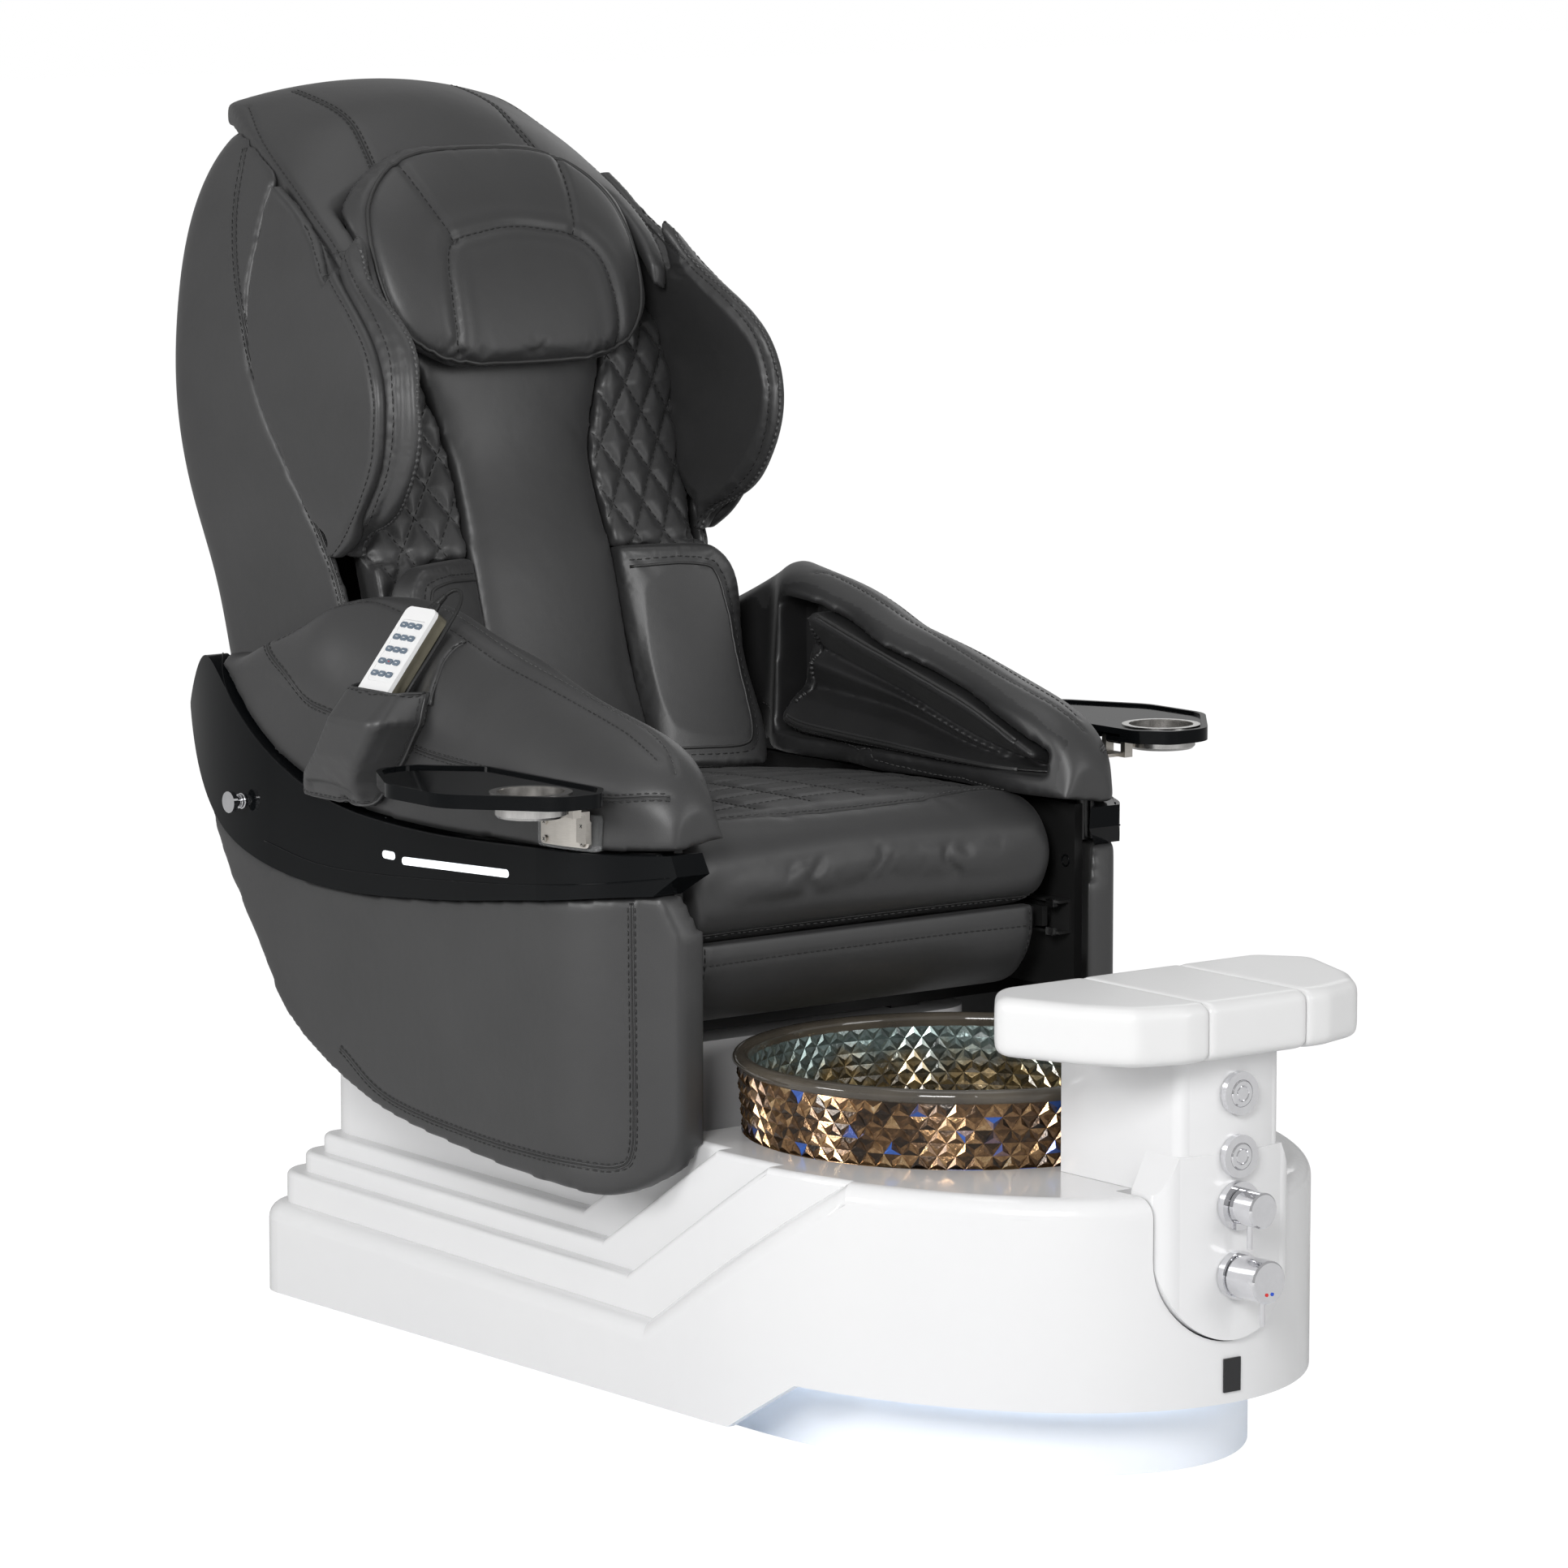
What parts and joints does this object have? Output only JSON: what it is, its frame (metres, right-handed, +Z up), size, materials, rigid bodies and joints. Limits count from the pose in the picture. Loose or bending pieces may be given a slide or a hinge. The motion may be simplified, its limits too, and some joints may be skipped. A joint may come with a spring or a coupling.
{
  "type": "pedicure spa chair",
  "caption": "Pedicure massage chair on a white stepped base with glass foot bowl, footrest, controls column, leather arms with fold-up trays, reclining back and handset.",
  "frame": {"origin": "on the floor on the centre plane, under the rear half of the foot bowl's deck, at the middle levelling foot's sole", "axes": "-Y to the front where the client's feet point, +X to the seated client's left, +Z up"},
  "size_m": [1.134, 1.7749, 1.4792],
  "materials": {
    "leather_charcoal": "soft charcoal upholstery leather, satin, stitched",
    "white_gloss": "white glossy acrylic",
    "white_pad": "white soft-skinned foam",
    "black_gloss": "deep black high gloss",
    "black_plastic": "black moulded plastic",
    "plinth_white": "white recessed plinth",
    "led_glow": "pale blue-white light diffuser",
    "foot_rubber": "black rubber",
    "steel_painted": "black powder coat",
    "bronze_glass": "thick hammered bronze glass",
    "chrome_trim": "polished chrome",
    "plate_dark": "blank dark plate with a silver border",
    "light_diffuser": "opal light diffuser",
    "nickel_satin": "satin nickel",
    "cord_black": "black cord sleeve",
    "dot_red": "red enamel",
    "dot_blue": "blue enamel",
    "brushed_cup": "spun stainless steel",
    "rod_steel": "ground steel",
    "handset_white": "white handset moulding with a bronze edge",
    "key_slate": "slate grey silicone"
  },
  "bodies": {
    "base": {"base_shell": "white_gloss", "plinth": "plinth_white", "led_strip": "led_glow", "levelling_feet": "foot_rubber", "chassis": "steel_painted", "bowl": "bronze_glass", "bowl_waste": "chrome_trim", "bowl_jet": "chrome_trim", "water_spout": "chrome_trim", "column_shell": "white_gloss", "footrest_centre": "white_pad", "footrest_end_left": "white_pad", "footrest_end_right": "white_pad", "button_bezels": "chrome_trim", "valve_body": "chrome_trim", "badge_plate": "plate_dark", "side_panel_left": "leather_charcoal", "side_panel_right": "leather_charcoal", "band_left": "black_gloss", "band_right": "black_gloss", "inner_panels": "black_plastic", "arm_left": "leather_charcoal", "arm_right": "leather_charcoal", "arm_airbags": "leather_charcoal", "bag_hook": "chrome_trim", "light_bars": "light_diffuser", "seat_channels": "steel_painted", "tray_brackets": "nickel_satin", "handset_pocket": "leather_charcoal", "handset_cord": "cord_black"},
    "jet_button": {"jet_button": "chrome_trim"},
    "drain_button": {"drain_button": "chrome_trim"},
    "flow_knob": {"flow_knob": "chrome_trim"},
    "mixer_knob": {"mixer_knob": "chrome_trim", "mixer_hot_dot": "dot_red", "mixer_cold_dot": "dot_blue"},
    "tray_left": {"tray_left": "black_gloss", "cup_left": "brushed_cup"},
    "tray_right": {"tray_right": "black_gloss", "cup_right": "brushed_cup"},
    "seat": {"seat_frame": "steel_painted", "seat_cushion": "leather_charcoal", "seat_skirt": "leather_charcoal", "seat_runners": "black_plastic", "recline_actuator": "steel_painted"},
    "recline_rod": {"recline_rod": "rod_steel"},
    "back": {"back_frame": "steel_painted", "back_shell": "leather_charcoal", "back_pad": "leather_charcoal", "back_bolsters": "leather_charcoal", "lumbar_flaps": "leather_charcoal", "wing_left": "leather_charcoal", "wing_right": "leather_charcoal", "shoulder_airbags": "leather_charcoal", "hood": "leather_charcoal", "pillow": "leather_charcoal"},
    "massage_carriage": {"massage_carriage": "black_plastic"},
    "pinion_shaft": {"pinion_shaft": "rod_steel"},
    "handset": {"handset_body": "handset_white"},
    "handset_keys": {"handset_keys": "key_slate"}
  },
  "joints": [
    {"name": "jet_press", "type": "slide", "parent": "base", "child": "jet_button", "axis": [0, 1, 0], "range_m": [0, 0.0025], "stiffness_N_per_m": 1500, "springref_m": -0.001},
    {"name": "drain_press", "type": "slide", "parent": "base", "child": "drain_button", "axis": [0, 1, 0], "range_m": [0, 0.0025], "stiffness_N_per_m": 1500, "springref_m": -0.001},
    {"name": "flow_turn", "type": "hinge", "parent": "base", "child": "flow_knob", "pos_m": [0, -0.706, 0.309], "axis": [0, -1, 0], "range_deg": [0, 90]},
    {"name": "mixer_turn", "type": "hinge", "parent": "base", "child": "mixer_knob", "pos_m": [0, -0.706, 0.231], "axis": [0, -1, 0], "range_deg": [-60, 60]},
    {"name": "tray_left_fold", "type": "hinge", "parent": "base", "child": "tray_left", "pos_m": [0.408, -0.022, 0.718], "axis": [0, -1, 0], "range_deg": [0, 85]},
    {"name": "tray_right_fold", "type": "hinge", "parent": "base", "child": "tray_right", "pos_m": [-0.408, -0.022, 0.718], "axis": [0, 1, 0], "range_deg": [0, 85]},
    {"name": "seat_slide", "type": "slide", "parent": "base", "child": "seat", "axis": [0, 1, 0], "range_m": [0, 0.1]},
    {"name": "back_recline", "type": "hinge", "parent": "seat", "child": "back", "pos_m": [0, 0.52, 0.56], "axis": [-1, 0, 0], "range_deg": [0, 25]},
    {"name": "recline_rod_slide", "type": "slide", "parent": "seat", "child": "recline_rod", "axis": [0, -1, 0], "range_m": [0, 0.0347]},
    {"name": "massage_travel", "type": "slide", "parent": "back", "child": "massage_carriage", "axis": [0, 0.2514, 0.9679], "range_m": [0, 0.42]},
    {"name": "pinion_turn", "type": "hinge", "parent": "massage_carriage", "child": "pinion_shaft", "pos_m": [0, 0.67978, 0.71749], "axis": [1, 0, 0], "range_deg": [0, 1605]},
    {"name": "handset_lift", "type": "slide", "parent": "base", "child": "handset", "axis": [0.6225, 0, 0.7826], "range_m": [0, 0.15], "deforming": ["handset_cord"]},
    {"name": "key_press", "type": "slide", "parent": "handset", "child": "handset_keys", "axis": [0.7826, 0, -0.6225], "range_m": [0, 0.0008], "stiffness_N_per_m": 2500, "springref_m": -0.0004}
  ],
  "couplings": [
    {"joint": "recline_rod_slide", "follows": "back_recline", "m_per_rad": 0.0795},
    {"joint": "pinion_turn", "follows": "massage_travel", "rad_per_m": 66.667}
  ]
}
